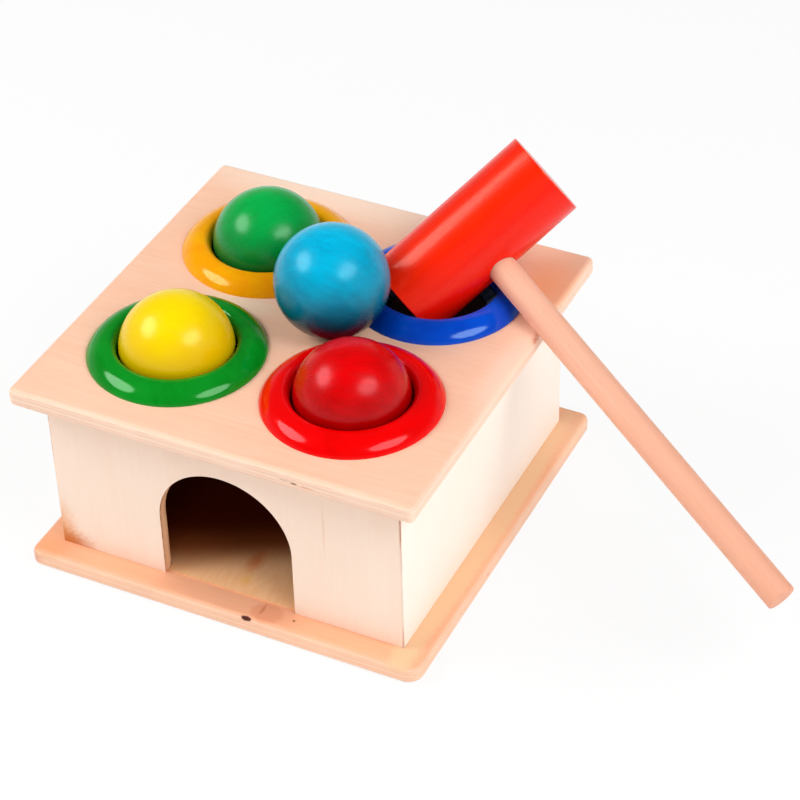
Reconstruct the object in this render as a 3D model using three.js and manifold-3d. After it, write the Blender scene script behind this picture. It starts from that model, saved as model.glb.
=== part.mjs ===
// Ball pounding bench: a plywood box with four balls in coloured rings and a wooden hammer
// Millimetres, Z up, front towards -Y, origin at the middle of the base board's underside

import * as THREE from 'three'
import { mergeVertices } from 'three/addons/utils/BufferGeometryUtils.js'
import Module from 'manifold-3d'

const wasm = await Module()
wasm.setup()

// Balls, and how far a seated ball's centre stands above the top board's face: the green one sits tighter
const BALL_DIAMETER = 45
const BALL_RISE = 1.7
const GREEN_BALL_RISE = 2.8
const LOOSE_BALL_SHIFT = 0.6

// Rings: a domed flange on the board and a sleeve through it
const BORE_CLEARANCE = 1.5
const BORE_ROUND = 1.4
const BORE_ROUND_DEPTH = 2.8
const RING_FLANGE = 9.6
const RING_HEIGHT = 5.8
const RING_RIM = 0.6
const RING_SPACING = 5
const SLEEVE_WALL = 2.4
const SLEEVE_REACH = 2.5

// Flexible lip at the foot of each sleeve
const LIP_COLLAR_THICK = 1
const LIP_HEIGHT = 4.2
const LIP_TAB_THICK = 1.2
const LIP_TAB_DROP = 2.4
const LIP_TABS = 12
const LIP_SLOT = 1.4

// Box of four mitred walls, which leaves each ring a square of its own
const WALL_HEIGHT = 72.5
const WALL_THICK = 5
const MITRE_GAP = 0.3

// Boards above and below the box, the same square
const BOARD_OVERHANG = 10
const BOARD_THICK = 8
const TOP_CORNER_RADIUS = 2.8
const TOP_EDGE_ROUND = 2.4
const BASE_CORNER_RADIUS = 5
const BASE_EDGE_ROUND = 2.4

// Arched doorway in the front wall
const DOOR_WIDTH = 57
const DOOR_HEIGHT = 57

// Hammer
const HEAD_DIAMETER = 36
const HEAD_LENGTH = 73.8
const HEAD_CHAMFER = 0.8
const HANDLE_DIAMETER = 11.8
const HANDLE_REACH = 187
const HANDLE_SOCKET = 24
const HANDLE_CHAMFER = 0.4

// Pose of the hammer, which leans in the back right ring and over the right edge
const HEAD_HEADING = THREE.MathUtils.degToRad(48.3)
const HEAD_LEAN = THREE.MathUtils.degToRad(34.9)

// Sloped floor
const RAMP_THICK = 3
const RAMP_TIP = 0.5
const RAMP_SLOPE = THREE.MathUtils.degToRad(7)
const RAMP_SETBACK = 1.5
const BATTEN_WIDTH = 12

// Nails through the base board into the walls
const NAIL_INSET = 23
const NAIL_LENGTH = 22
const NAIL_DIAMETER = 1.8
const NAIL_POINT = 2.5
const NAIL_HEAD_DIAMETER = 4.2
const NAIL_HEAD_THICK = 0.9

// Shared gaps: glued or resting neighbours, and how far a cutter runs past a face
const FIT_GAP = 0.3
const OVERRUN = 1

// Fineness of the round forms
const BALL_AROUND = 24
const BALL_RINGS = 14
const RING_AROUND = 36
const LIP_AROUND = 36
const HEAD_AROUND = 40
const HANDLE_AROUND = 24
const NAIL_AROUND = 8
const ARCH_STEPS = 20
const CORNER_STEPS = 6
const EDGE_STEPS = 3

// Levels and radii that follow from the sizes above
const floorZ = BOARD_THICK
const ceilingZ = floorZ + WALL_HEIGHT
const topZ = ceilingZ + BOARD_THICK
const ballRadius = BALL_DIAMETER / 2
const boreRadius = ballRadius + BORE_CLEARANCE
const crestRadius = boreRadius + BORE_ROUND
const ringRadius = crestRadius + RING_FLANGE
const far = ringRadius + RING_SPACING / 2
const near = -far
const boxHalf = 2 * far
const innerHalf = boxHalf - WALL_THICK
const boardHalf = boxHalf + BOARD_OVERHANG
const sleeveRadius = boreRadius + SLEEVE_WALL
const sleeveFootZ = ceilingZ - SLEEVE_REACH
const headRadius = HEAD_DIAMETER / 2
const handleRadius = HANDLE_DIAMETER / 2

// Materials
const plywood = (color) => () => new THREE.MeshStandardMaterial({ color, roughness: 0.6, metalness: 0 })
const plastic = (color) => () => new THREE.MeshStandardMaterial({ color, roughness: 0.2, metalness: 0 })
const paint = (color) => () => new THREE.MeshStandardMaterial({ color, roughness: 0.35, metalness: 0 })
const steel = () => new THREE.MeshStandardMaterial({ color: 0xb8b8b8, roughness: 0.4, metalness: 1 })
const paleWood = plywood(0xf3cfae)
const wallWood = plywood(0xf7dcc6)
const rampWood = plywood(0xe2bb92)
const beech = plywood(0xf0bd9a)

// Geometry to closed solid and back
function toSolid(geometry) {
  const plain = geometry.clone()
  plain.deleteAttribute('normal')
  plain.deleteAttribute('uv')
  const merged = mergeVertices(plain)
  const mesh = new wasm.Mesh({
    numProp: 3,
    vertProperties: new Float32Array(merged.attributes.position.array),
    triVerts: new Uint32Array(merged.index.array),
  })
  return new wasm.Manifold(mesh)
}

function toGeometry(solid) {
  const mesh = solid.getMesh()
  const geometry = new THREE.BufferGeometry()
  geometry.setAttribute('position', new THREE.BufferAttribute(new Float32Array(mesh.vertProperties), 3))
  geometry.setIndex(new THREE.BufferAttribute(new Uint32Array(mesh.triVerts), 1))
  geometry.computeVertexNormals()
  return geometry
}

function cut(geometry, cutters) {
  return toGeometry(cutters.reduce((rest, cutter) => rest.subtract(toSolid(cutter)), toSolid(geometry)))
}

// Named mesh from a geometry and a material maker
function piece(name, geometry, material) {
  const mesh = new THREE.Mesh(geometry, material())
  mesh.name = name
  return mesh
}

// Closed profile of [radius, height] points turned about the Z axis
function turned(profile, around) {
  const points = profile.map(([radius, height]) => new THREE.Vector2(radius, height))
  return new THREE.LatheGeometry(points, around).rotateX(Math.PI / 2)
}

// Upright cylinder between two levels
function post(radius, fromZ, toZ, around) {
  return turned([[0, fromZ], [radius, fromZ], [radius, toZ], [0, toZ]], around)
}

// Points of an arc on an ellipse, from one angle to another
function arc(centreX, centreY, radiusX, radiusY, from, to, steps) {
  const curve = new THREE.EllipseCurve(centreX, centreY, radiusX, radiusY, from, to, to < from)
  return curve.getPoints(steps).map((point) => [point.x, point.y])
}

// Square board with rounded corners and rounded-over edges
function roundedBoard(cornerRadius, edgeRound, lowZ) {
  const half = boardHalf
  const inset = half - cornerRadius
  const shape = new THREE.Shape()
  shape.moveTo(-inset, -half)
  shape.lineTo(inset, -half)
  shape.absarc(inset, -inset, cornerRadius, -Math.PI / 2, 0)
  shape.lineTo(half, inset)
  shape.absarc(inset, inset, cornerRadius, 0, Math.PI / 2)
  shape.lineTo(-inset, half)
  shape.absarc(-inset, inset, cornerRadius, Math.PI / 2, Math.PI)
  shape.lineTo(-half, -inset)
  shape.absarc(-inset, -inset, cornerRadius, Math.PI, Math.PI * 3 / 2)
  const board = new THREE.ExtrudeGeometry(shape, {
    depth: BOARD_THICK - 2 * edgeRound,
    curveSegments: CORNER_STEPS,
    bevelEnabled: true,
    bevelThickness: edgeRound,
    bevelSize: edgeRound,
    bevelOffset: -edgeRound,
    bevelSegments: EDGE_STEPS,
  })
  return board.translate(0, 0, lowZ + edgeRound)
}

// Turns that carry the front wall to each side, and the places of the two nails in each wall
const wallTurns = { front: 0, right: Math.PI / 2, back: Math.PI, left: -Math.PI / 2 }
const frontNails = [NAIL_INSET - boxHalf, boxHalf - NAIL_INSET].map((x) => (
  new THREE.Vector3(x, WALL_THICK / 2 - boxHalf, 0)
))
const upward = new THREE.Vector3(0, 0, 1)
const allNails = Object.values(wallTurns).flatMap((turn) => (
  frontNails.map((place) => place.clone().applyAxisAngle(upward, turn))
))

// Nail: flat head, straight shank and a point
const nailRadius = NAIL_DIAMETER / 2
const nailHeadRadius = NAIL_HEAD_DIAMETER / 2
const nailTipZ = FIT_GAP + NAIL_LENGTH

function nailGeometry() {
  const headTopZ = FIT_GAP + NAIL_HEAD_THICK
  return turned([
    [0, FIT_GAP],
    [nailHeadRadius, FIT_GAP],
    [nailHeadRadius, headTopZ],
    [nailRadius, headTopZ],
    [nailRadius, nailTipZ - NAIL_POINT],
    [0, nailTipZ],
  ], NAIL_AROUND)
}

// Stepped hole that takes a nail with its head sunk below the underside
function nailHole(place) {
  const recessTopZ = FIT_GAP + NAIL_HEAD_THICK + FIT_GAP
  const hole = turned([
    [0, -OVERRUN],
    [nailHeadRadius + FIT_GAP, -OVERRUN],
    [nailHeadRadius + FIT_GAP, recessTopZ],
    [nailRadius + FIT_GAP, recessTopZ],
    [nailRadius + FIT_GAP, nailTipZ],
    [0, nailTipZ + FIT_GAP],
  ], NAIL_AROUND)
  return hole.translate(place.x, place.y, 0)
}

// Boards
function baseBoard() {
  const board = roundedBoard(BASE_CORNER_RADIUS, BASE_EDGE_ROUND, 0)
  return piece('base_board', cut(board, allNails.map(nailHole)), paleWood)
}

function topBoard() {
  const board = roundedBoard(TOP_CORNER_RADIUS, TOP_EDGE_ROUND, ceilingZ)
  const holes = []
  for (const x of [near, far]) {
    for (const y of [near, far]) {
      const hole = post(sleeveRadius + FIT_GAP, ceilingZ - OVERRUN, topZ + OVERRUN, RING_AROUND)
      holes.push(hole.translate(x, y, 0))
    }
  }
  return piece('top_board', cut(board, holes), paleWood)
}

// Outline of the doorway, run past the wall's foot so that it cuts clean
function doorwayCutter() {
  const half = DOOR_WIDTH / 2
  const springZ = floorZ + DOOR_HEIGHT - half
  const shape = new THREE.Shape()
  shape.moveTo(-half, floorZ - OVERRUN)
  shape.lineTo(half, floorZ - OVERRUN)
  shape.lineTo(half, springZ)
  shape.absarc(0, springZ, half, 0, Math.PI)
  const depth = WALL_THICK + 2 * OVERRUN
  const cutter = new THREE.ExtrudeGeometry(shape, { depth, curveSegments: ARCH_STEPS, bevelEnabled: false })
  return cutter.rotateX(Math.PI / 2).translate(0, -innerHalf + OVERRUN, 0)
}

// One wall in the front wall's place, with its ends mitred to half the gap
function wallGeometry() {
  const trim = MITRE_GAP * Math.SQRT1_2
  const plan = new THREE.Shape()
  plan.moveTo(-boxHalf + trim, -boxHalf)
  plan.lineTo(boxHalf - trim, -boxHalf)
  plan.lineTo(innerHalf - trim, -innerHalf)
  plan.lineTo(-innerHalf + trim, -innerHalf)
  const wall = new THREE.ExtrudeGeometry(plan, { depth: WALL_HEIGHT, bevelEnabled: false })
  return wall.translate(0, 0, floorZ)
}

function walls() {
  const nailHoles = frontNails.map(nailHole)
  return Object.entries(wallTurns).map(([side, turn]) => {
    const cutters = side === 'front' ? [doorwayCutter(), ...nailHoles] : nailHoles
    const wall = piece(`${side}_wall`, cut(wallGeometry(), cutters), wallWood)
    wall.rotation.z = turn
    return wall
  })
}

// Side view of [y, z] points run out along X, centred
function sideProfile(points, width) {
  const shape = new THREE.Shape(points.map(([y, z]) => new THREE.Vector2(y, z)))
  const bar = new THREE.ExtrudeGeometry(shape, { depth: width, bevelEnabled: false })
  const turn = new THREE.Matrix4().makeBasis(
    new THREE.Vector3(0, 1, 0),
    new THREE.Vector3(0, 0, 1),
    new THREE.Vector3(1, 0, 0),
  )
  return bar.applyMatrix4(turn).translate(-width / 2, 0, 0)
}

// Ramp: a thin board planed flat where its front lies on the base, with a tongue in the doorway
const rampFrontY = -boxHalf + RAMP_SETBACK
const rampBackY = innerHalf - FIT_GAP
const rampWidth = 2 * (innerHalf - FIT_GAP)
const rampRise = Math.tan(RAMP_SLOPE)
const rampDepth = RAMP_THICK / Math.cos(RAMP_SLOPE)
const rampTopZ = (y) => floorZ + RAMP_TIP + (y - rampFrontY) * rampRise

function rampBoard() {
  const liftOffY = rampFrontY + (rampDepth - RAMP_TIP) / rampRise
  const board = sideProfile([
    [rampFrontY, floorZ],
    [liftOffY, floorZ],
    [rampBackY, rampTopZ(rampBackY) - rampDepth],
    [rampBackY, rampTopZ(rampBackY)],
    [rampFrontY, rampTopZ(rampFrontY)],
  ], rampWidth)
  const tongueHalf = DOOR_WIDTH / 2 - FIT_GAP
  const shoulderY = -innerHalf + FIT_GAP
  const plan = new THREE.Shape()
  plan.moveTo(-tongueHalf, rampFrontY - OVERRUN)
  plan.lineTo(tongueHalf, rampFrontY - OVERRUN)
  plan.lineTo(tongueHalf, shoulderY)
  plan.lineTo(rampWidth / 2 + OVERRUN, shoulderY)
  plan.lineTo(rampWidth / 2 + OVERRUN, rampBackY + OVERRUN)
  plan.lineTo(-rampWidth / 2 - OVERRUN, rampBackY + OVERRUN)
  plan.lineTo(-rampWidth / 2 - OVERRUN, shoulderY)
  plan.lineTo(-tongueHalf, shoulderY)
  const column = new THREE.ExtrudeGeometry(plan, { depth: WALL_HEIGHT, bevelEnabled: false })
  const outline = toSolid(column.translate(0, 0, floorZ - OVERRUN))
  return piece('ramp_board', toGeometry(toSolid(board).intersect(outline)), rampWood)
}

// Batten under the ramp's rear edge, its top planed to the ramp's slope
function rampBatten() {
  const backY = rampBackY
  const frontY = backY - BATTEN_WIDTH
  const underZ = (y) => rampTopZ(y) - rampDepth - FIT_GAP
  const bar = sideProfile([
    [frontY, floorZ],
    [backY, floorZ],
    [backY, underZ(backY)],
    [frontY, underZ(frontY)],
  ], rampWidth)
  return piece('ramp_batten', bar, rampWood)
}

// Section of a ring: the sleeve, the rounded bore edge and the dome down to the flange's rim
const lipSeatRadius = boreRadius + LIP_COLLAR_THICK + FIT_GAP
const lipSeatTopZ = sleeveFootZ + LIP_HEIGHT + FIT_GAP

function domeSection() {
  const crestZ = topZ + RING_HEIGHT
  const rimZ = topZ + RING_RIM
  const bulge = crestZ - rimZ
  const domeRadius = (RING_FLANGE ** 2 + bulge ** 2) / (2 * bulge)
  const domeCentreZ = crestZ - domeRadius
  const rimAngle = Math.atan2(rimZ - domeCentreZ, RING_FLANGE)
  const inner = arc(crestRadius, crestZ - BORE_ROUND_DEPTH, BORE_ROUND, BORE_ROUND_DEPTH, Math.PI, Math.PI / 2, 4)
  const outer = arc(crestRadius, domeCentreZ, domeRadius, domeRadius, Math.PI / 2, rimAngle, 7)
  return [...inner, ...outer.slice(1)]
}

function ringGeometry() {
  const dome = domeSection()
  const section = [
    [sleeveRadius, sleeveFootZ],
    [lipSeatRadius, sleeveFootZ],
    [lipSeatRadius, lipSeatTopZ],
    [boreRadius, lipSeatTopZ],
    ...dome,
    [ringRadius, topZ],
    [sleeveRadius, topZ],
    [sleeveRadius, sleeveFootZ],
  ]
  return turned(section.reverse(), RING_AROUND)
}

// Lip whose tabs reach in under a ball that is seated at a given rise
const tabRootZ = sleeveFootZ + LIP_TAB_DROP
const tabTopZ = sleeveFootZ + LIP_TAB_THICK
const tabTipRadiusAt = (rise) => Math.sqrt(ballRadius ** 2 - (topZ + rise - tabTopZ) ** 2) + FIT_GAP

function lipGeometry(rise) {
  const collarRadius = boreRadius + LIP_COLLAR_THICK
  const tabTipRadius = tabTipRadiusAt(rise)
  const section = [
    [collarRadius, sleeveFootZ],
    [collarRadius, sleeveFootZ + LIP_HEIGHT],
    [boreRadius, sleeveFootZ + LIP_HEIGHT],
    [boreRadius, tabRootZ + LIP_TAB_THICK],
    [tabTipRadius, tabTopZ],
    [tabTipRadius, sleeveFootZ],
    [collarRadius, sleeveFootZ],
  ]
  const slotInner = tabTipRadius - OVERRUN
  const slots = []
  for (let index = 0; index < LIP_TABS; index += 1) {
    const slot = new THREE.BoxGeometry(boreRadius - slotInner, LIP_SLOT, LIP_HEIGHT + 2 * OVERRUN)
    slot.translate((slotInner + boreRadius) / 2, 0, sleeveFootZ + LIP_HEIGHT / 2)
    slots.push(slot.rotateZ(index / LIP_TABS * Math.PI * 2))
  }
  return cut(turned(section, LIP_AROUND), slots)
}

const ringPlaces = {
  green: { x: near, y: near, rise: BALL_RISE, color: 0x0a9a2e },
  amber: { x: near, y: far, rise: GREEN_BALL_RISE, color: 0xf7b000 },
  red: { x: far, y: near, rise: BALL_RISE, color: 0xe00010 },
  blue: { x: far, y: far, rise: BALL_RISE, color: 0x0a4bbd },
}

function rings() {
  return Object.entries(ringPlaces).flatMap(([name, { x, y, rise, color }]) => {
    const ring = piece(`${name}_ring`, ringGeometry(), plastic(color))
    const lip = piece(`${name}_ring_lip`, lipGeometry(rise), plastic(color))
    ring.position.set(x, y, 0)
    lip.position.set(x, y, 0)
    return [ring, lip]
  })
}

// Balls: three seated and one loose
function ball(name, place, color) {
  const geometry = new THREE.SphereGeometry(ballRadius, BALL_AROUND, BALL_RINGS).rotateX(Math.PI / 2)
  const mesh = piece(name, geometry, paint(color))
  mesh.position.copy(place)
  return mesh
}

// Value between a pose that overlaps and one that is clear, where the gap is just the fit gap
function settle(overlapping, clear, gapAt) {
  let [low, high] = [overlapping, clear]
  for (let step = 0; step < 50; step += 1) {
    const middle = (low + high) / 2
    if (gapAt(middle) < FIT_GAP) low = middle
    else high = middle
  }
  return high
}

// Points on the surface of the back right ring and its lip
function ringSurface() {
  const section = [[tabTipRadiusAt(BALL_RISE), sleeveFootZ], [boreRadius, lipSeatTopZ], ...domeSection()]
  const points = []
  for (let index = 0; index < 2 * RING_AROUND; index += 1) {
    const angle = index / RING_AROUND * Math.PI
    for (const [radius, z] of section) {
      points.push(new THREE.Vector3(far + radius * Math.cos(angle), far + radius * Math.sin(angle), z))
    }
  }
  return points
}

// Distance from a point to the head, negative inside it
function distanceToHead(point, headEnd, headAxis) {
  const reach = point.clone().sub(headEnd)
  const along = reach.dot(headAxis)
  const beyondSide = Math.sqrt(Math.max(0, reach.lengthSq() - along ** 2)) - headRadius
  const beyondEnd = Math.max(-along, along - HEAD_LENGTH)
  const outside = Math.hypot(Math.max(0, beyondSide), Math.max(0, beyondEnd))
  return outside + Math.min(0, Math.max(beyondSide, beyondEnd))
}

// The head lies on the ring's far crest, slides in until its end meets the bore's near side,
// and rolls until the handle meets the top board's right edge
function hammerPose() {
  const heading = new THREE.Vector3(Math.cos(HEAD_HEADING), Math.sin(HEAD_HEADING), 0)
  const across = Math.cos(HEAD_LEAN)
  const rise = Math.sin(HEAD_LEAN)
  const axis = heading.clone().multiplyScalar(across).addScaledVector(upward, rise)
  const over = upward.clone().multiplyScalar(across).addScaledVector(heading, -rise)
  const centre = new THREE.Vector3(far, far, topZ)
  const surface = ringSurface()
  const isFar = (point) => point.clone().sub(centre).dot(heading) > 0
  const farSide = surface.filter(isFar)
  const nearSide = surface.filter((point) => !isFar(point))
  const gapTo = (points, end) => Math.min(...points.map((point) => distanceToHead(point, end, axis)))
  const endAt = (lift, slide) => centre.clone().addScaledVector(over, lift).addScaledVector(axis, slide)
  const lift = settle(0, HEAD_DIAMETER, (value) => gapTo(farSide, endAt(value, -headRadius)))
  const slide = settle(-HEAD_LENGTH, 0, (value) => gapTo(nearSide, endAt(lift, value)))
  const end = endAt(lift, slide)
  const middle = end.clone().addScaledVector(axis, HEAD_LENGTH / 2)
  const level = new THREE.Vector3().crossVectors(axis, upward).normalize()
  const handleAt = (roll) => (
    level.clone().multiplyScalar(Math.cos(roll)).addScaledVector(over, -Math.sin(roll))
  )
  const edge = new THREE.Vector3(boardHalf - TOP_EDGE_ROUND, 0, topZ - TOP_EDGE_ROUND)
  const edgeGap = (roll) => {
    const handle = handleAt(roll)
    const above = new THREE.Vector3(-handle.z, 0, handle.x).normalize()
    return middle.clone().sub(edge).dot(above) - handleRadius - TOP_EDGE_ROUND
  }
  const handle = handleAt(settle(Math.PI / 2, 0, edgeGap))
  return { axis, end, middle, handle }
}

// Hammer: the head's axis is the group's Z and the handle runs along its X
function hammer({ axis, middle, handle }) {
  const half = HEAD_LENGTH / 2
  const headBody = turned([
    [0, -half],
    [headRadius - HEAD_CHAMFER, -half],
    [headRadius, -half + HEAD_CHAMFER],
    [headRadius, half - HEAD_CHAMFER],
    [headRadius - HEAD_CHAMFER, half],
    [0, half],
  ], HEAD_AROUND)
  const socketX = headRadius - HANDLE_SOCKET
  const socketRadius = handleRadius + FIT_GAP
  const socket = post(socketRadius, socketX, headRadius + OVERRUN, HANDLE_AROUND).rotateY(Math.PI / 2)
  const handleFromX = socketX + FIT_GAP
  const handleBody = turned([
    [0, handleFromX],
    [handleRadius - HANDLE_CHAMFER, handleFromX],
    [handleRadius, handleFromX + HANDLE_CHAMFER],
    [handleRadius, HANDLE_REACH - HANDLE_CHAMFER],
    [handleRadius - HANDLE_CHAMFER, HANDLE_REACH],
    [0, HANDLE_REACH],
  ], HANDLE_AROUND).rotateY(Math.PI / 2)
  const group = new THREE.Group()
  group.add(piece('hammer_head', cut(headBody, [socket]), paint(0xfa3208)))
  group.add(piece('hammer_handle', handleBody, beech))
  const across = new THREE.Vector3().crossVectors(axis, handle)
  group.setRotationFromMatrix(new THREE.Matrix4().makeBasis(handle, across, axis))
  group.position.copy(middle)
  return group
}

// The loose ball lies on the board, a little nearer the red ring than the blue one, against the red
// ring and clear of the hammer's head and of the way up of the balls in those rings
function looseBallPlace({ axis, end }) {
  const ringReach = Math.max(...domeSection().map(([radius, z]) => {
    const drop = ballRadius - (z - topZ)
    return radius + Math.sqrt(Math.max(0, ballRadius ** 2 - drop ** 2))
  }))
  const apart = Math.max(ringReach, BALL_DIAMETER) + FIT_GAP
  const ringAway = far - LOOSE_BALL_SHIFT
  const againstRings = far - Math.sqrt(Math.max(0, apart ** 2 - ringAway ** 2))
  const placeAt = (x) => new THREE.Vector3(x, -LOOSE_BALL_SHIFT, topZ + ballRadius + FIT_GAP)
  const headGap = (x) => distanceToHead(placeAt(x), end, axis) - ballRadius
  if (headGap(againstRings) >= FIT_GAP) return placeAt(againstRings)
  return placeAt(settle(againstRings, againstRings - ballRadius, headGap))
}

// Assembly
const bench = new THREE.Group()
bench.name = 'ball_pounding_bench'
bench.add(baseBoard(), ...walls(), topBoard(), rampBoard(), rampBatten(), ...rings())
allNails.forEach((place, index) => {
  const nail = piece(`base_nail_${index + 1}`, nailGeometry(), steel)
  nail.position.set(place.x, place.y, 0)
  bench.add(nail)
})

const pose = hammerPose()
const seat = (x, y, rise) => new THREE.Vector3(x, y, topZ + rise)
bench.add(
  ball('yellow_ball', seat(near, near, BALL_RISE), 0xfdcb08),
  ball('green_ball', seat(near, far, GREEN_BALL_RISE), 0x06a045),
  ball('red_ball', seat(far, near, BALL_RISE), 0xd60008),
  ball('blue_ball', looseBallPlace(pose), 0x05afdc),
  hammer(pose),
)

export default bench
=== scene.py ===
"""Looks of the ball pounding bench: a wooden box with four ringed holes, four balls and a hammer.

Lengths are in millimetres until they reach Blender, which works in metres.
The frame is the CAD part's: +Z up, -Y out of the doorway.
"""

import math

import bmesh
import bpy
from mathutils import Matrix, Vector

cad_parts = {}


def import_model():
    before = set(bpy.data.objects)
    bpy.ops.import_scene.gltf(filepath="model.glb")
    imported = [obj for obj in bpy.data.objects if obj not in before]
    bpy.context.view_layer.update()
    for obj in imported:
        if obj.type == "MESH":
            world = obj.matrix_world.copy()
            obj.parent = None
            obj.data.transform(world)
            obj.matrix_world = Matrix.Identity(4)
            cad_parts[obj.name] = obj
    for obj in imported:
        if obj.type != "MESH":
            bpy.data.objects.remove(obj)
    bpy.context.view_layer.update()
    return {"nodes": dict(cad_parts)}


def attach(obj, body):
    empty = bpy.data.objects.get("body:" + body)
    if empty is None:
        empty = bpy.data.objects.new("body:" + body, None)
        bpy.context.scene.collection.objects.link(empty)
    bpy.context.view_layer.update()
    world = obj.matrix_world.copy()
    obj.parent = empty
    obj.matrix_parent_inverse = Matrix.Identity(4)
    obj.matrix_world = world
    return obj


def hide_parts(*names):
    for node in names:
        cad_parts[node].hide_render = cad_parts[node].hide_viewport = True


MM = 0.001

# Sizes, as in the CAD part
BOARD_HALF = 85
BOARD_THICK = 8
TOP_LOW = 80.5
TOP_CORNER_RADIUS = 2.8
BASE_CORNER_RADIUS = 4
BASE_NEAR_CORNER_RADIUS = 6.5
EDGE_ROUND = 2.4
WALL_HALF = 75
WALL_THICK = 5
DOOR_HALF = 28.5
DOOR_SPRING = 36.8
RING_PLACE = 37.5
RING_RADIUS = 35
RING_RISE = 5.15
RING_RIM_HEIGHT = 0.6
RING_BORE = 24
CREST_INSET = 2.2
MOUTH_ROUND = 4.25
SLEEVE_RADIUS = 26.4
SLEEVE_FOOT = 78
LIP_SEAT_RADIUS = 25.3
LIP_SEAT_TOP = 82.5
BALL_RADIUS = 22.5
BALL_GAP = 0.55
HEAD_RADIUS = 18
HEAD_LENGTH = 73.8
HANDLE_RADIUS = 5.9
HANDLE_FROM = -5.7
HANDLE_REACH = 187
NAIL_PLACE = 72.5
NAIL_SPREAD = 52
NAIL_RADIUS = 0.9
NAIL_HEAD_RADIUS = 2.1
NAIL_SINK = 0.3
SOCKET_FROM = -6
SOCKET_TO = 34
PLAY = 0.3
BOARD_PLY = 1.6
WALL_PLY = 1.67

# The hammer's resting place: its head's middle, and the ways in which its head and its handle point
HEAD_MIDDLE = Vector((48.377, 49.708, 110.450))
HEAD_AXIS = Vector((0.5456, 0.6124, 0.5721)).normalized()
HANDLE_WAY = Vector((0.8380, -0.4043, -0.3664)).normalized()

BALL_PLACES = {
    "yellow_ball": (-RING_PLACE, -RING_PLACE, 90.2),
    "green_ball": (-RING_PLACE, RING_PLACE, 91.3),
    "red_ball": (RING_PLACE, -RING_PLACE, 90.2),
    "blue_ball": (11.22, -0.6, 111.3),
}
RING_PLACES = {
    "green_ring": (-RING_PLACE, -RING_PLACE),
    "amber_ring": (-RING_PLACE, RING_PLACE),
    "red_ring": (RING_PLACE, -RING_PLACE),
    "blue_ring": (RING_PLACE, RING_PLACE),
}

# The photograph's viewpoint, in metres: its lens, its place, and the ways to its right and behind it
CAMERA_LENS = 115.87
CAMERA_PLACE = (0.39227, -0.70164, 0.68604)
CAMERA_RIGHT = (0.90074, 0.43375, -0.02289)
CAMERA_BACK = (0.35245, -0.69909, 0.62214)

# The lamps, in metres: the point that they shine at, and their distance, width and height
LIT_MIDDLE = Vector((0, 0, 0.06))
SOFTBOX = (1.28, 0.84, 0.59)
SPILL = (1.3, 1.4, 1.2)
NEAR_FILL = (1.6, 1.3, 1.3)
FAR_FILL = (1.8, 1.3, 1.3)


# Modelling by hand, in small steps

def deselect():
    """Leaves no object selected."""
    for other in list(bpy.context.selected_objects):
        other.select_set(False)


def alone(item):
    """Selects one object alone and makes it the active one."""
    deselect()
    item.select_set(True)
    bpy.context.view_layer.objects.active = item


def edit(item):
    """Enters edit mode on one object."""
    alone(item)
    bpy.ops.object.mode_set(mode="EDIT")


def leave():
    """Leaves edit mode."""
    bpy.ops.object.mode_set(mode="OBJECT")


def settle(item):
    """Puts an object's place, turn and scale into its mesh."""
    alone(item)
    bpy.ops.object.transform_apply(location=True, rotation=True, scale=True)


def select_all():
    """In edit mode, selects everything."""
    bpy.ops.mesh.select_all(action="SELECT")


def choose(item, kind, wanted):
    """In edit mode, selects only the vertices, edges or faces that wanted() accepts."""
    bpy.ops.mesh.select_mode(type=kind)
    bpy.ops.mesh.select_all(action="DESELECT")
    shell = bmesh.from_edit_mesh(item.data)
    for part in {"VERT": shell.verts, "EDGE": shell.edges, "FACE": shell.faces}[kind]:
        if wanted(part):
            part.select_set(True)
    shell.select_flush_mode()
    bmesh.update_edit_mesh(item.data)


def ends(edge):
    """An edge's two ends, in millimetres."""
    return [corner.co / MM for corner in edge.verts]


def block(name, low, high):
    """A cube at its size and place, with its corners at low and high."""
    low, high = Vector(low), Vector(high)
    bpy.ops.mesh.primitive_cube_add(size=1, location=(low + high) / 2 * MM)
    item = bpy.context.object
    item.name = item.data.name = name
    item.scale = (high - low) * MM
    settle(item)
    return item


def close_up(item):
    """Merges doubled points and turns every face outwards."""
    edit(item)
    select_all()
    bpy.ops.mesh.remove_doubles(threshold=1e-6)
    bpy.ops.mesh.normals_make_consistent(inside=False)
    leave()


def smooth(item, degrees=32, weighted=False):
    """Shades the edges flatter than an angle smooth, and if wanted lets the larger faces lead the shading."""
    alone(item)
    bpy.ops.object.shade_smooth_by_angle(angle=math.radians(degrees))
    if weighted:
        bpy.ops.object.modifier_add(type="WEIGHTED_NORMAL")
        item.modifiers[-1].keep_sharp = True
        bpy.ops.object.modifier_apply(modifier=item.modifiers[-1].name)
    return item


def carve(item, cutter):
    """Cuts one solid out of another, and throws the cutter away."""
    alone(item)
    bpy.ops.object.modifier_add(type="BOOLEAN")
    step = item.modifiers[-1]
    step.operation = "DIFFERENCE"
    step.solver = "EXACT"
    step.object = cutter
    bpy.ops.object.modifier_apply(modifier=step.name)
    bpy.data.objects.remove(cutter)


def rounding(radius, height, size, start, stop, steps):
    """Points on an oval arc about (radius, height), from one angle to another in degrees.

    size is the oval's half width and half height.
    """
    points = []
    for step in range(steps + 1):
        angle = math.radians(start + (stop - start) * step / steps)
        points.append((radius + size[0] * math.cos(angle), height + size[1] * math.sin(angle)))
    return points


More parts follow.
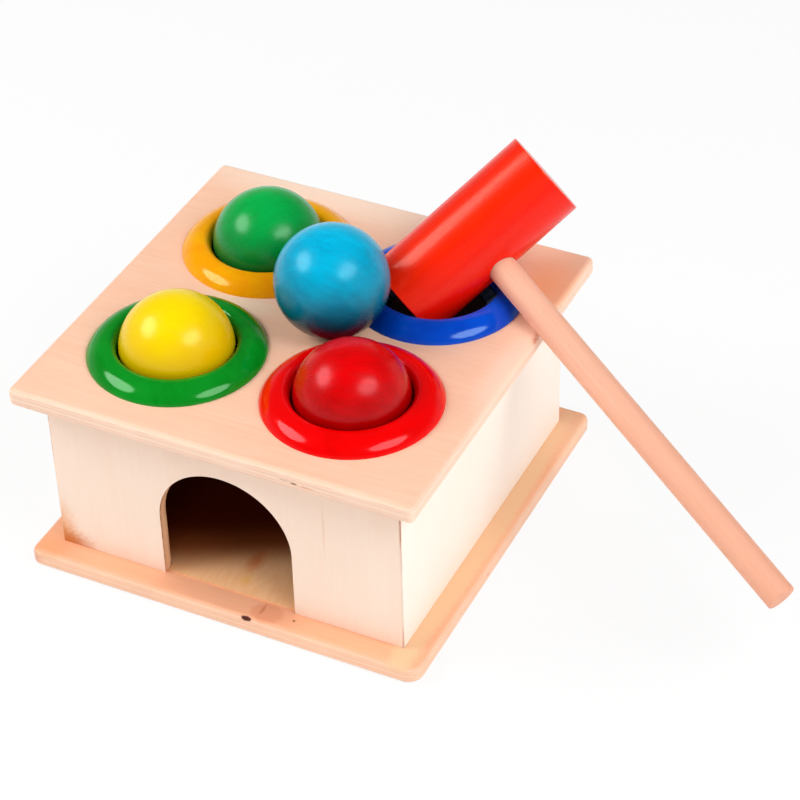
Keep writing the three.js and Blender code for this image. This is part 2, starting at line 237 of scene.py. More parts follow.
def lathe(name, profile, around, closed=False):
    """A turned piece on the Z axis, drawn out of a circle loop by loop along (radius, height) points.

    closed means that the profile ends where it starts, as on a ring.
    """
    (radius, height), *rest = profile
    bpy.ops.mesh.primitive_circle_add(vertices=around, radius=radius * MM, location=(0, 0, height * MM))
    item = bpy.context.object
    item.name = item.data.name = name
    settle(item)
    edit(item)
    bpy.ops.mesh.select_mode(type="EDGE")
    select_all()
    if not closed:
        bpy.ops.mesh.edge_face_add()
        choose(item, "EDGE", lambda edge: edge.is_boundary)
    for next_radius, next_height in rest:
        rise = (next_height - height) * MM
        bpy.ops.mesh.extrude_edges_move(TRANSFORM_OT_translate={"value": (0, 0, rise)})
        ratio = next_radius / radius
        if abs(ratio - 1) > 1e-9:
            bpy.ops.transform.resize(value=(ratio, ratio, 1), center_override=(0, 0, next_height * MM))
        radius, height = next_radius, next_height
    if not closed:
        bpy.ops.mesh.edge_face_add()
    leave()
    close_up(item)
    return item


def put(item, place, turn=None):
    """Moves a piece that was made at the origin to its place, in millimetres, and settles it there."""
    item.matrix_world = Matrix.Translation(Vector(place) * MM) @ (turn or Matrix.Identity(4))
    settle(item)
    return item


def copy_of(item, name):
    """A copy with a mesh of its own."""
    twin = item.copy()
    twin.data = item.data.copy()
    twin.name = twin.data.name = name
    bpy.context.scene.collection.objects.link(twin)
    return twin


# Node trees

def shade(red, green, blue):
    """A colour written in 0 to 255 as a screen shows it, as the linear colour that Blender takes."""
    def linear(value):
        value /= 255
        return value / 12.92 if value <= 0.04045 else ((value + 0.055) / 1.055) ** 2.4
    return (linear(red), linear(green), linear(blue), 1)


def place_node(tree, kind, inputs=None, **settings):
    """Adds a node. An input is a value, or the socket that feeds it."""
    made = tree.nodes.new(kind)
    for key, value in settings.items():
        setattr(made, key, value)
    for key, value in (inputs or {}).items():
        socket = made.inputs[key]
        if isinstance(value, bpy.types.NodeSocket):
            tree.links.new(value, socket)
        else:
            socket.default_value = value
    return made


def sums(tree, operation, first, second=None, clamp=False):
    """A math node on one or two values."""
    inputs = {0: first} if second is None else {0: first, 1: second}
    return place_node(tree, "ShaderNodeMath", inputs, operation=operation, use_clamp=clamp).outputs[0]


def plus(tree, first, second, clamp=False):
    return sums(tree, "ADD", first, second, clamp)


def minus(tree, first, second):
    return sums(tree, "SUBTRACT", first, second)


def times(tree, first, second):
    return sums(tree, "MULTIPLY", first, second)


def over(tree, first, second):
    return sums(tree, "DIVIDE", first, second)


def unsigned(tree, value):
    return sums(tree, "ABSOLUTE", value)


def axes(tree, vector):
    """The X, Y and Z of a vector."""
    return place_node(tree, "ShaderNodeSeparateXYZ", {0: vector}).outputs


def vectors(tree, operation, first, second=None):
    """A vector math node on one or two vectors."""
    inputs = {0: first} if second is None else {0: first, 1: second}
    return place_node(tree, "ShaderNodeVectorMath", inputs, operation=operation).outputs


def ramp_to(tree, value, low, high, to_low=0.0, to_high=1.0, course="SMOOTHSTEP"):
    """A smooth step of a value between two levels, or a straight one."""
    inputs = {"Value": value, "From Min": low, "From Max": high, "To Min": to_low, "To Max": to_high}
    return place_node(tree, "ShaderNodeMapRange", inputs, interpolation_type=course).outputs[0]


def mixed(tree, amount, first, second):
    """One colour laid over another by an amount."""
    return place_node(tree, "ShaderNodeMix", {0: amount, 6: first, 7: second}, data_type="RGBA").outputs[2]


def stretched(tree, position, scale):
    """A position with each of its axes scaled, which draws a pattern out along the smaller ones."""
    return vectors(tree, "MULTIPLY", position, scale)[0]


def cloud(tree, position, scale, detail=3.0, roughness=0.55, distortion=0.0):
    """A soft random pattern between 0 and 1."""
    made = place_node(tree, "ShaderNodeTexNoise", {
        "Vector": position, "Scale": scale, "Detail": detail, "Roughness": roughness, "Distortion": distortion,
    })
    return made.outputs["Fac"]


def effect(name, inputs, outputs):
    """A shader node group, to be filled, with the position and other named inputs, and named outputs."""
    tree = bpy.data.node_groups.new(name, "ShaderNodeTree")
    kinds = {"value": "NodeSocketFloat", "colour": "NodeSocketColor", "vector": "NodeSocketVector"}
    for way, sockets in (("INPUT", [("Position", "vector"), *inputs]), ("OUTPUT", outputs)):
        for label, kind in sockets:
            tree.interface.new_socket(name=label, in_out=way, socket_type=kinds[kind])
    return tree, tree.nodes.new("NodeGroupInput").outputs, tree.nodes.new("NodeGroupOutput").inputs


def wood_grain():
    """Fibres and broad figure of a pale wood whose fibres run along X, in millimetres."""
    tree, given, result = effect("wood grain", [
        ("Pale", "colour"), ("Deep", "colour"), ("Fibre", "value"), ("Figure", "value"),
        ("Pores", "value"), ("Patches", "value"),
    ], [("Color", "colour"), ("Height", "value"), ("Roughness", "value")])
    position = given["Position"]
    fibre = cloud(tree, stretched(tree, position, (0.035, 1, 1)), 0.9, 5, 0.62)
    figure = cloud(tree, stretched(tree, position, (0.16, 1, 1)), 0.055, 2, 0.5, 1.2)
    rings = sums(tree, "FRACT", times(tree, figure, 7.0))
    rings = ramp_to(tree, unsigned(tree, minus(tree, rings, 0.5)), 0.1, 0.5)
    pores = cloud(tree, stretched(tree, position, (0.09, 1, 1)), 2.6, 1, 0.5)
    pores = ramp_to(tree, pores, 0.66, 0.78)
    fibre_part = times(tree, minus(tree, fibre, 0.5), times(tree, given["Fibre"], 2.2))
    figure_part = times(tree, minus(tree, rings, 0.5), given["Figure"])
    patches = minus(tree, cloud(tree, stretched(tree, position, (0.4, 1, 1)), 0.035, 3, 0.6), 0.5)
    depth = plus(tree, plus(tree, fibre_part, figure_part), 0.42)
    depth = plus(tree, depth, times(tree, patches, given["Patches"]))
    depth = plus(tree, depth, times(tree, pores, given["Pores"]), clamp=True)
    tree.links.new(mixed(tree, depth, given["Pale"], given["Deep"]), result["Color"])
    tree.links.new(minus(tree, 1.0, depth), result["Height"])
    tree.links.new(ramp_to(tree, depth, 0.0, 1.0, 0.42, 0.62), result["Roughness"])
    return tree


def ply_layers():
    """The plies that a cut edge shows: which of them end on it, and the glue lines between them."""
    tree, given, result = effect("ply layers", [
        ("Depth", "value"), ("Ply", "value"), ("Across", "value"),
    ], [("End Grain", "value"), ("Glue Line", "value"), ("Speck", "value")])
    waver = cloud(tree, given["Position"], 0.05, 2)
    depth = plus(tree, given["Depth"], times(tree, minus(tree, waver, 0.5), 0.35))
    count = over(tree, depth, given["Ply"])
    odd = sums(tree, "MODULO", sums(tree, "FLOOR", count), 2.0)
    within = sums(tree, "FRACT", count)
    near = sums(tree, "MINIMUM", within, minus(tree, 1.0, within))
    glue = ramp_to(tree, near, 0.02, 0.13, 1.0, 0.0)
    faint = ramp_to(tree, cloud(tree, given["Position"], 0.09, 3), 0.3, 0.62)
    glue = times(tree, glue, faint)
    end_grain = unsigned(tree, minus(tree, odd, given["Across"]))
    tree.links.new(end_grain, result["End Grain"])
    tree.links.new(glue, result["Glue Line"])
    speck = ramp_to(tree, cloud(tree, given["Position"], 1.5, 1), 0.7, 0.78)
    tree.links.new(times(tree, speck, end_grain), result["Speck"])
    return tree


def soft_mark():
    """A patch with soft and slightly ragged edges, at one place: a knot, stain or dent, and also the patches of
    painted light and shade.
    """
    tree, given, result = effect("soft mark", [
        ("Middle", "vector"), ("Size", "vector"), ("Softness", "value"), ("Raggedness", "value"),
    ], [("Mask", "value")])
    offset = vectors(tree, "SUBTRACT", given["Position"], given["Middle"])[0]
    reach = vectors(tree, "DIVIDE", offset, given["Size"])[0]
    length = vectors(tree, "LENGTH", reach)["Value"]
    ragged = minus(tree, cloud(tree, given["Position"], 0.6, 3), 0.5)
    distance = plus(tree, length, times(tree, ragged, given["Raggedness"]))
    inner = minus(tree, 1.0, given["Softness"])
    tree.links.new(ramp_to(tree, distance, inner, 1.0, 1.0, 0.0), result["Mask"])
    return tree


def edge_wear():
    """Where hands and bumps polish a box-shaped piece: near its edges, in broken patches."""
    tree, given, result = effect("edge wear", [
        ("Half Size", "vector"), ("Reach", "value"),
    ], [("Mask", "value"), ("Dents", "value")])
    size = vectors(tree, "ABSOLUTE", given["Position"])[0]
    split = axes(tree, vectors(tree, "SUBTRACT", given["Half Size"], size)[0])
    edges = [sums(tree, "MAXIMUM", split[first], split[second]) for first, second in ("XY", "YZ", "XZ")]
    nearest = sums(tree, "MINIMUM", sums(tree, "MINIMUM", edges[0], edges[1]), edges[2])
    patches = cloud(tree, given["Position"], 0.12, 4, 0.6)
    reach = times(tree, given["Reach"], times(tree, patches, 2.0))
    inwards = over(tree, nearest, reach)
    tree.links.new(ramp_to(tree, inwards, 0.0, 1.0, 1.0, 0.0), result["Mask"])
    dents = ramp_to(tree, cloud(tree, given["Position"], 0.45, 1), 0.7, 0.8)
    tree.links.new(times(tree, dents, ramp_to(tree, inwards, 0.3, 1.6, 1.0, 0.0)), result["Dents"])
    return tree


def paint_over_wood():
    """Thin paint through which wood fibres along X still show, in millimetres."""
    tree, given, result = effect("paint over wood", [
        ("Paint", "colour"), ("Thick Paint", "colour"), ("Streaks", "value"),
    ], [("Color", "colour"), ("Height", "value"), ("Roughness", "value")])
    position = given["Position"]
    fibre = cloud(tree, stretched(tree, position, (0.05, 1, 1)), 0.7, 5, 0.6)
    year_rings = cloud(tree, stretched(tree, position, (0.03, 1, 1)), 0.16, 2, 0.4, 0.6)
    pooled = cloud(tree, position, 0.07, 2)
    streaks = plus(tree, times(tree, fibre, 0.6), times(tree, year_rings, 0.4))
    streaks = times(tree, ramp_to(tree, streaks, 0.36, 0.66), given["Streaks"])
    amount = plus(tree, streaks, times(tree, ramp_to(tree, pooled, 0.35, 0.7), 0.25), clamp=True)
    tree.links.new(mixed(tree, amount, given["Paint"], given["Thick Paint"]), result["Color"])
    pits = ramp_to(tree, cloud(tree, stretched(tree, position, (0.2, 1, 1)), 1.9, 1), 0.7, 0.82)
    blotches = cloud(tree, stretched(tree, position, (0.3, 1, 1)), 0.5, 3, 0.6)
    height = minus(tree, plus(tree, times(tree, fibre, 0.7), times(tree, blotches, 1.4)), pits)
    tree.links.new(height, result["Height"])
    dulled = plus(tree, fibre, times(tree, pits, 0.5))
    tree.links.new(ramp_to(tree, dulled, 0.3, 0.9, 0.8, 1.25), result["Roughness"])
    return tree


def moulded_gloss():
    """Glossy moulded plastic: faint flow marks, soft sinks and fine handling scratches."""
    tree, given, result = effect("moulded gloss", [
        ("Plastic", "colour"), ("Deep Plastic", "colour"),
    ], [("Color", "colour"), ("Height", "value"), ("Roughness", "value")])
    flow = cloud(tree, given["Position"], 0.05, 3, 0.5, 1.5)
    colour = mixed(tree, ramp_to(tree, flow, 0.3, 0.75), given["Plastic"], given["Deep Plastic"])
    tree.links.new(colour, result["Color"])
    scratches = cloud(tree, stretched(tree, given["Position"], (0.12, 1.6, 0.5)), 1.4, 2, 0.6, 0.4)
    scratches = ramp_to(tree, scratches, 0.62, 0.72)
    sinks = cloud(tree, given["Position"], 0.12, 1)
    tree.links.new(minus(tree, sinks, times(tree, scratches, 0.03)), result["Height"])
    clouded = plus(tree, 0.85, times(tree, flow, 0.3))
    tree.links.new(plus(tree, times(tree, scratches, 0.35), clouded), result["Roughness"])
    return tree


EFFECTS = {}


def make_effects():
    """Makes the six effects that the materials share."""
    EFFECTS.update({
        "wood grain": wood_grain(), "ply layers": ply_layers(), "soft mark": soft_mark(),
        "edge wear": edge_wear(), "paint over wood": paint_over_wood(), "moulded gloss": moulded_gloss(),
    })


def use(tree, name, inputs):
    """Puts an effect in a material, with this material's values."""
    return place_node(tree, "ShaderNodeGroup", inputs, node_tree=EFFECTS[name]).outputs


# Materials

def new_material(name):
    """A material with its node tree, its shader, the surface's normal, and the position in millimetres."""
    material = bpy.data.materials.new(name)
    material.use_nodes = True
    tree = material.node_tree
    shader = tree.nodes["Principled BSDF"]
    where = place_node(tree, "ShaderNodeTexCoord")
    position = stretched(tree, where.outputs["Object"], (1 / MM,) * 3)
    return material, tree, shader, where.outputs["Normal"], position


def finish_with(tree, shader, colour, roughness, height, bump, specular, gleam=(1, 1, 1, 1)):
    """Links a material's colour, roughness and relief. bump is the relief's strength and its depth in mm."""
    strength, depth = bump
    tree.links.new(colour, shader.inputs["Base Color"])
    tree.links.new(roughness, shader.inputs["Roughness"])
    inputs = {"Height": height, "Strength": strength, "Distance": depth * MM}
    tree.links.new(place_node(tree, "ShaderNodeBump", inputs).outputs[0], shader.inputs["Normal"])
    shader.inputs["Specular IOR Level"].default_value = specular
    shader.inputs["Specular Tint"].default_value = gleam


def turned_about(tree, position, middle, turn):
    """The position seen from a piece that is centred at middle and turned."""
    inputs = {"Vector": position, "Location": middle, "Rotation": turn}
    return place_node(tree, "ShaderNodeMapping", inputs, vector_type="TEXTURE").outputs[0]


def mark_on(tree, colour, position, middle, size, tint, strength, softness, raggedness):
    """Lays one soft mark over a colour. Its tint is written in 0 to 255."""
    mask = use(tree, "soft mark", {
        "Position": position, "Middle": middle, "Size": size, "Softness": softness, "Raggedness": raggedness,
    })["Mask"]
    return mixed(tree, times(tree, mask, strength), colour, shade(*tint))


def board_wood(name, low, marks, pale, deep, edge):
    """A plywood board: face veneer with fibres along X, plies on the edge, painted shade on its downward faces
    inside the box, and its own marks, some of them painted light and shade.
    """
    material, tree, shader, surface, position = new_material(name)
    split = axes(tree, position)
    normal = axes(tree, surface)
    grain = use(tree, "wood grain", {
        "Position": position, "Pale": pale, "Deep": deep,
        "Fibre": 0.55, "Figure": 0.12, "Pores": 0.16, "Patches": 1.0,
    })
    on_edge = ramp_to(tree, unsigned(tree, normal["Z"]), 0.45, 0.85, 1.0, 0.0)
    across = ramp_to(tree, unsigned(tree, normal["X"]), 0.6, 0.8)
    depth = minus(tree, split["Z"], low)
    plies = use(tree, "ply layers", {"Position": position, "Depth": depth, "Ply": BOARD_PLY, "Across": across})
    colour = mixed(tree, times(tree, on_edge, 0.6), grain["Color"], edge)
    for kind, strength, tint in (
        ("End Grain", 0.14, (226, 160, 118)),
        ("Glue Line", 0.5, (214, 150, 112)),
        ("Speck", 0.4, (205, 130, 110)),
    ):
        amount = times(tree, plies[kind], times(tree, on_edge, strength))
        colour = mixed(tree, amount, colour, shade(*tint))
    # Painted shade: faces that look down, within the walls' line, are painted nearly black-brown, as the shade
    # under the top board inside the box.
    below = ramp_to(tree, normal["Z"], -0.9, -0.6, 1.0, 0.0)
    reach = sums(tree, "MAXIMUM", unsigned(tree, split["X"]), unsigned(tree, split["Y"]))
    inside = times(tree, below, ramp_to(tree, reach, WALL_HALF - WALL_THICK, WALL_HALF, 1.0, 0.0))
    colour = mixed(tree, times(tree, inside, 0.95), colour, shade(84, 26, 10))
    centred = vectors(tree, "SUBTRACT", position, (0, 0, low + BOARD_THICK / 2))[0]
    wear = use(tree, "edge wear", {
        "Position": centred, "Half Size": (BOARD_HALF, BOARD_HALF, BOARD_THICK / 2), "Reach": 2.4,
    })
    colour = mixed(tree, times(tree, wear["Mask"], 0.16), colour, shade(255, 226, 200))
    for mark in marks:
        colour = mark_on(tree, colour, position, *mark)
    roughness = minus(tree, grain["Roughness"], times(tree, wear["Mask"], 0.12))
    height = minus(tree, grain["Height"], times(tree, plies["Glue Line"], on_edge))
    height = minus(tree, height, wear["Dents"])
    finish_with(tree, shader, colour, roughness, height, (0.35, 0.12), 0.3)
    return material


def wall_wood(name, marks, pale, deep):
    """A plywood wall: face veneer with upright fibres, plies in the doorway's cut edge, dark mitre joints, and
    painted shade on its faces inside the box.
    """
    material, tree, shader, surface, position = new_material(name)
    split = axes(tree, position)
    normal = axes(tree, surface)
    upright = turned_about(tree, position, (0, 0, 0), (0, math.radians(90), 0))
    grain = use(tree, "wood grain", {
        "Position": upright, "Pale": pale, "Deep": deep,
        "Fibre": 0.34, "Figure": 0.06, "Pores": 0.1, "Patches": 0.9,
    })
    sideways = times(tree, unsigned(tree, normal["X"]), ramp_to(tree, unsigned(tree, split["X"]), 60, 62))
    veneer = sums(tree, "MAXIMUM", sideways, unsigned(tree, normal["Y"]))
    on_edge = ramp_to(tree, veneer, 0.3, 0.7, 1.0, 0.0)
    depth = plus(tree, split["Y"], WALL_HALF)
    plies = use(tree, "ply layers", {"Position": position, "Depth": depth, "Ply": WALL_PLY, "Across": 1.0})
    colour = mixed(tree, times(tree, on_edge, 0.85), grain["Color"], shade(255, 200, 150))
    for kind, tint in (("End Grain", (236, 166, 120)), ("Glue Line", (170, 96, 54))):
        amount = times(tree, plies[kind], times(tree, on_edge, 0.25))
        colour = mixed(tree, amount, colour, shade(*tint))
    off_middle = unsigned(tree, minus(tree, depth, WALL_THICK / 2))
    rough = ramp_to(tree, cloud(tree, position, 0.35, 3), 0.35, 0.6, 0.25, 0.8)
    rim = times(tree, ramp_to(tree, off_middle, WALL_THICK / 2 - 1.3, WALL_THICK / 2 - 0.4), rough)
    colour = mixed(tree, times(tree, rim, on_edge), colour, shade(176, 104, 66))
    wide = sums(tree, "MINIMUM", unsigned(tree, split["X"]), unsigned(tree, split["Y"]))
    joint = ramp_to(tree, wide, WALL_HALF - 0.9, WALL_HALF - 0.3)
    upper = ramp_to(tree, split["Z"], 42, 66, 0.12, 0.75)
    foot = ramp_to(tree, split["Z"], 10, 26, 0.4, 0.0)
    gaps = cloud(tree, stretched(tree, position, (0.3, 0.3, 1)), 0.07, 3)
    broken = times(tree, sums(tree, "MAXIMUM", upper, foot), ramp_to(tree, gaps, 0.3, 0.6, 0.4, 1.0))
    colour = mixed(tree, times(tree, joint, broken), colour, shade(196, 126, 78))
    # Painted shade: the faces inside the box are painted dark brown, darker towards the back and in the grain.
    outward = vectors(tree, "DOT_PRODUCT", surface, position)["Value"]
    inside = ramp_to(tree, outward, -66, -50, 1.0, 0.0)
    inner_shade = mixed(tree, ramp_to(tree, split["Y"], -66, 30), shade(146, 74, 34), shade(56, 14, 5))
    inner_shade = mixed(tree, ramp_to(tree, grain["Height"], 0.3, 0.8, 0.35, 0.0), inner_shade, shade(30, 8, 3))
    colour = mixed(tree, inside, colour, inner_shade)
    wear = use(tree, "edge wear", {"Position": position, "Half Size": (WALL_HALF, WALL_HALF, 90), "Reach": 2.0})
    colour = mixed(tree, times(tree, wear["Dents"], 0.35), colour, shade(214, 160, 126))
    for mark in marks:
        colour = mark_on(tree, colour, position, *mark)
    height = minus(tree, grain["Height"], times(tree, plies["Glue Line"], on_edge))
    finish_with(tree, shader, colour, grain["Roughness"], height, (0.3, 0.12), 0.3)
    return material


def ball_paint(name, middle, paint, thick, painted_shade, painted_shade_span, gleam, streaks, turn):
    """Glossy paint on a turned wooden ball, its fibres turned as this ball lies.

    A painted shade darkens it evenly downwards into the shade colour given after thick. The pair after that is
    the height, in radii from the middle, at which it is wholly that colour, and the share of that colour at the
    very top.
    """
    material, tree, shader, _, position = new_material(name)
    own = turned_about(tree, position, middle, turn)
    coat = use(tree, "paint over wood", {
        "Position": own, "Paint": paint, "Thick Paint": thick, "Streaks": streaks,
    })
    # Painted shade: the ball is painted darker downwards.
    height = over(tree, minus(tree, axes(tree, position)["Z"], middle[2]), BALL_RADIUS)
    level, top_share = painted_shade_span
    share = ramp_to(tree, height, level, 1.0, 1.0, top_share, "LINEAR")
    colour = mixed(tree, share, coat["Color"], painted_shade)
    roughness = times(tree, coat["Roughness"], 0.26)
    finish_with(tree, shader, colour, roughness, coat["Height"], (0.2, 0.045), 0.4, gleam)
    return material


def ring_plastic(name, plastic, deep, gleam, marks=()):
    """Glossy plastic of one ring and its lip, with marks that paint shadow on it where given."""
    material, tree, shader, _, position = new_material(name)
    gloss = use(tree, "moulded gloss", {"Position": position, "Plastic": plastic, "Deep Plastic": deep})
    colour = gloss["Color"]
    for mark in marks:
        colour = mark_on(tree, colour, position, *mark)
    roughness = times(tree, gloss["Roughness"], 0.11)
    finish_with(tree, shader, colour, roughness, gloss["Height"], (0.15, 0.5), 0.5, gleam)
    return material


def hammer_turn():
    """The hammer's own directions: X out along the handle, Z along the head."""
    side = HEAD_AXIS.cross(HANDLE_WAY).normalized()
    handle = side.cross(HEAD_AXIS).normalized()
    return Matrix((handle, side, HEAD_AXIS)).transposed().to_4x4()


def head_paint():
    """Satin orange-red paint, fibres along the head, deeper on its lower side as painted shade, and rubbed on
    its rims.
    """
    material, tree, shader, surface, position = new_material("orange_red_paint")
    own = turned_about(tree, position, HEAD_MIDDLE, hammer_turn().to_euler())
    along = turned_about(tree, own, (0, 0, 0), (0, math.radians(90), 0))
    coat = use(tree, "paint over wood", {
        "Position": along, "Paint": shade(255, 40, 0), "Thick Paint": shade(242, 26, 0), "Streaks": 0.5,
    })
    upward = axes(tree, surface)["Z"]
    # Painted shade: faces that look down are painted a deeper red.
    shaded_below = mixed(tree, ramp_to(tree, upward, 0.2, 0.72, 1.0, 0.0), coat["Color"], shade(240, 18, 0))
    height = axes(tree, own)["Z"]
    rim = ramp_to(tree, unsigned(tree, height), HEAD_LENGTH / 2 - 1.0, HEAD_LENGTH / 2)
    broken = ramp_to(tree, cloud(tree, own, 0.25, 3), 0.45, 0.62)
    rubbed = times(tree, times(tree, rim, broken), 0.35)
    colour = mixed(tree, rubbed, shaded_below, shade(255, 120, 60))
    roughness = times(tree, coat["Roughness"], 0.27)
    finish_with(tree, shader, colour, roughness, coat["Height"], (0.25, 0.08), 0.5, (1, 0.65, 0.5, 1))
    return material


def handle_wood():
    """Plain sanded dowel, fibres and flecks along it, darker towards its end and on its end grain."""
    material, tree, shader, _, position = new_material("beech")
    own = turned_about(tree, position, HEAD_MIDDLE, hammer_turn().to_euler())
    grain = use(tree, "wood grain", {
        "Position": own, "Pale": shade(248, 196, 168), "Deep": shade(233, 166, 137),
        "Fibre": 0.4, "Figure": 0.05, "Pores": 0.45, "Patches": 0.5,
    })
    along = axes(tree, own)["X"]
    end = ramp_to(tree, along, HANDLE_REACH - 0.5, HANDLE_REACH - 0.1)
    darker = ramp_to(tree, along, 40, HANDLE_REACH, 0.0, 0.6, "LINEAR")
    colour = mixed(tree, darker, grain["Color"], shade(230, 156, 126))
    colour = mixed(tree, times(tree, end, 0.4), colour, shade(232, 160, 124))
    finish_with(tree, shader, colour, grain["Roughness"], grain["Height"], (0.35, 0.12), 0.25)
    return material


def ramp_wood():
    """Bare plywood of the sloped floor, with an orange patch and a small pale gold one, painted darker further
    in as painted shade.
    """
    material, tree, shader, _, position = new_material("ramp_plywood")
    along = turned_about(tree, position, (0, 0, 0), (0, 0, math.radians(90)))
    grain = use(tree, "wood grain", {
        "Position": along, "Pale": shade(255, 204, 154), "Deep": shade(248, 178, 122),
        "Fibre": 0.45, "Figure": 0.15, "Pores": 0.2, "Patches": 0.6,
    })
    colour = grain["Color"]
    for mark in (
        ((2, -57, 11), (5, 9, 6), (226, 112, 40), 0.6, 0.9, 0.6),
        ((3, -67, 10), (4, 5, 6), (250, 184, 96), 0.6, 0.9, 0.6),
    ):
        colour = mark_on(tree, colour, position, *mark)
    split = axes(tree, position)
    # Painted shade and shadow: darker further into the box, behind a slanted line from the left jamb's foot
    # that stands for its shadow edge.
    shadow_depth = plus(tree, split["Y"], times(tree, split["X"], -0.45))
    colour = mixed(tree, ramp_to(tree, shadow_depth, -64, -46, 0.0, 0.92), colour, shade(172, 86, 32))
    colour = mixed(tree, ramp_to(tree, shadow_depth, -58, -32, 0.0, 0.97), colour, shade(98, 28, 4))
    finish_with(tree, shader, colour, grain["Roughness"], grain["Height"], (0.35, 0.12), 0.05)
    return material


def nail_metal():
    """Bright wire with drawing lines and a little dulling."""
    material, tree, shader, _, position = new_material("nail_steel")
    lines = cloud(tree, stretched(tree, position, (1, 1, 0.05)), 4.0, 3)
    dull = cloud(tree, position, 0.5, 3)
    colour = mixed(tree, ramp_to(tree, dull, 0.35, 0.7), shade(196, 196, 198), shade(150, 148, 146))
    roughness = ramp_to(tree, plus(tree, lines, dull), 0.7, 1.3, 0.28, 0.5)
    finish_with(tree, shader, colour, roughness, lines, (0.3, 0.05), 0.5)
    shader.inputs["Metallic"].default_value = 1
    return material


# Pieces

def board(name, low, radius, near_radius):
    """A square board: its upright edges are rounded first, then its rims are rounded over."""
    item = block(name, (-BOARD_HALF, -BOARD_HALF, low), (BOARD_HALF, BOARD_HALF, low + BOARD_THICK))

    def is_upright(edge):
        return abs(ends(edge)[0].z - ends(edge)[1].z) > 1

    def is_near(edge):
        return is_upright(edge) and ends(edge)[0].x > BOARD_HALF - 0.1 and ends(edge)[0].y < 0.1 - BOARD_HALF

    edit(item)
    choose(item, "EDGE", lambda edge: is_upright(edge) and not is_near(edge))
    bpy.ops.mesh.bevel(offset=radius * MM, segments=10, affect="EDGES")
    choose(item, "EDGE", is_near)
    bpy.ops.mesh.bevel(offset=near_radius * MM, segments=10, affect="EDGES")
    choose(item, "EDGE", lambda edge: not is_upright(edge))
    bpy.ops.mesh.bevel(offset=EDGE_ROUND * MM, segments=5, affect="EDGES")
    leave()
    return item


def drill(item, x, y, radius, low, high, around=96):
    """Cuts one upright round hole."""
    bpy.ops.mesh.primitive_cylinder_add(vertices=around, radius=radius * MM, depth=(high - low) * MM,
                                        location=(x * MM, y * MM, (low + high) / 2 * MM))
    bit = bpy.context.object
    settle(bit)
    carve(item, bit)


def top_board():
    """The board with the four ring holes."""
    item = board("top_board_wood", TOP_LOW, TOP_CORNER_RADIUS, TOP_CORNER_RADIUS)
    for x, y in RING_PLACES.values():
        drill(item, x, y, SLEEVE_RADIUS + PLAY, TOP_LOW - 5, TOP_LOW + BOARD_THICK + 5)
    return smooth(item, weighted=True)


def nail_places():
    """Two nails in each wall, going round the box from the front."""
    pair = [(-NAIL_SPREAD, -NAIL_PLACE), (NAIL_SPREAD, -NAIL_PLACE)]
    places = []
    for _ in range(4):
        places += pair
        pair = [(-y, x) for x, y in pair]
    return places


def base_board():
    """The board that the box stands on, bored from below for its nails."""
    item = board("base_board_wood", 0, BASE_CORNER_RADIUS, BASE_NEAR_CORNER_RADIUS)
    for x, y in nail_places():
        drill(item, x, y, NAIL_HEAD_RADIUS + PLAY, -2, 1.5, 24)
        drill(item, x, y, NAIL_RADIUS + PLAY, -3, BOARD_THICK + 2, 16)
    return smooth(item, weighted=True)


def wall_blank(name):
    """A wall on the doorway's side: a block whose inner face is drawn in to mitre both ends."""
    half = WALL_HALF - 0.06
    item = block(name, (-half, -WALL_HALF, BOARD_THICK), (half, -WALL_HALF + WALL_THICK, TOP_LOW))
    edit(item)
    choose(item, "FACE", lambda face: face.normal.y > 0.9)
    bpy.ops.transform.resize(value=((half - WALL_THICK) / half, 1, 1), center_override=(0, 0, 0))
    choose(item, "EDGE", lambda edge: all(abs(end.x) > half - 0.1 for end in ends(edge)))
    bpy.ops.mesh.bevel(offset=0.3 * MM, segments=2, affect="EDGES")
    leave()
    return item


def doorway_cutter():
    """The doorway's outline: the upper half of a circle, drawn down past the floor and run through the wall."""
    before, through, below = 10, 30, 4
    bpy.ops.mesh.primitive_circle_add(vertices=96, radius=DOOR_HALF * MM, rotation=(math.radians(90), 0, 0),
                                      location=(0, -(WALL_HALF + before) * MM, DOOR_SPRING * MM))
    item = bpy.context.object
    item.name = "doorway"
    settle(item)
    edit(item)
    choose(item, "VERT", lambda corner: corner.co.z < (DOOR_SPRING - 0.1) * MM)
    bpy.ops.mesh.delete(type="VERT")
    choose(item, "VERT", lambda corner: len(corner.link_edges) == 1)
    drop = (DOOR_SPRING - BOARD_THICK + below) * MM
    bpy.ops.mesh.extrude_vertices_move(TRANSFORM_OT_translate={"value": (0, 0, -drop)})
    select_all()
    bpy.ops.mesh.edge_face_add()
    select_all()
    bpy.ops.mesh.extrude_region_move(TRANSFORM_OT_translate={"value": (0, through * MM, 0)})
    select_all()
    bpy.ops.mesh.normals_make_consistent(inside=False)
    leave()
    return item


def on_doorway(edge):
    """Whether an edge is part of the doorway's outline on one of the wall's faces."""
    first, second = ends(edge)
    flat = abs(first.y - second.y) < 0.01
    narrow = max(abs(first.x), abs(second.x)) < DOOR_HALF + 0.1
    low = max(first.z, second.z) < DOOR_SPRING + DOOR_HALF + 0.1
    foot = max(first.z, second.z) < BOARD_THICK + 0.1
    return flat and narrow and low and not foot


def front_wall():
    """The wall with the doorway."""
    item = wall_blank("front_wall_wood")
    carve(item, doorway_cutter())
    edit(item)
    choose(item, "EDGE", on_doorway)
    bpy.ops.mesh.bevel(offset=0.45 * MM, segments=2, affect="EDGES")
    leave()
    return smooth(item, weighted=True)


def plain_walls():
    """The other three walls, one made and copied round the box."""
    first = smooth(wall_blank("right_wall_wood"), weighted=True)
    turned = [first, copy_of(first, "back_wall_wood"), copy_of(first, "left_wall_wood")]
    for item, quarter in zip(turned, (1, 2, 3)):
        put(item, (0, 0, 0), Matrix.Rotation(quarter * math.pi / 2, 4, "Z"))
    return turned


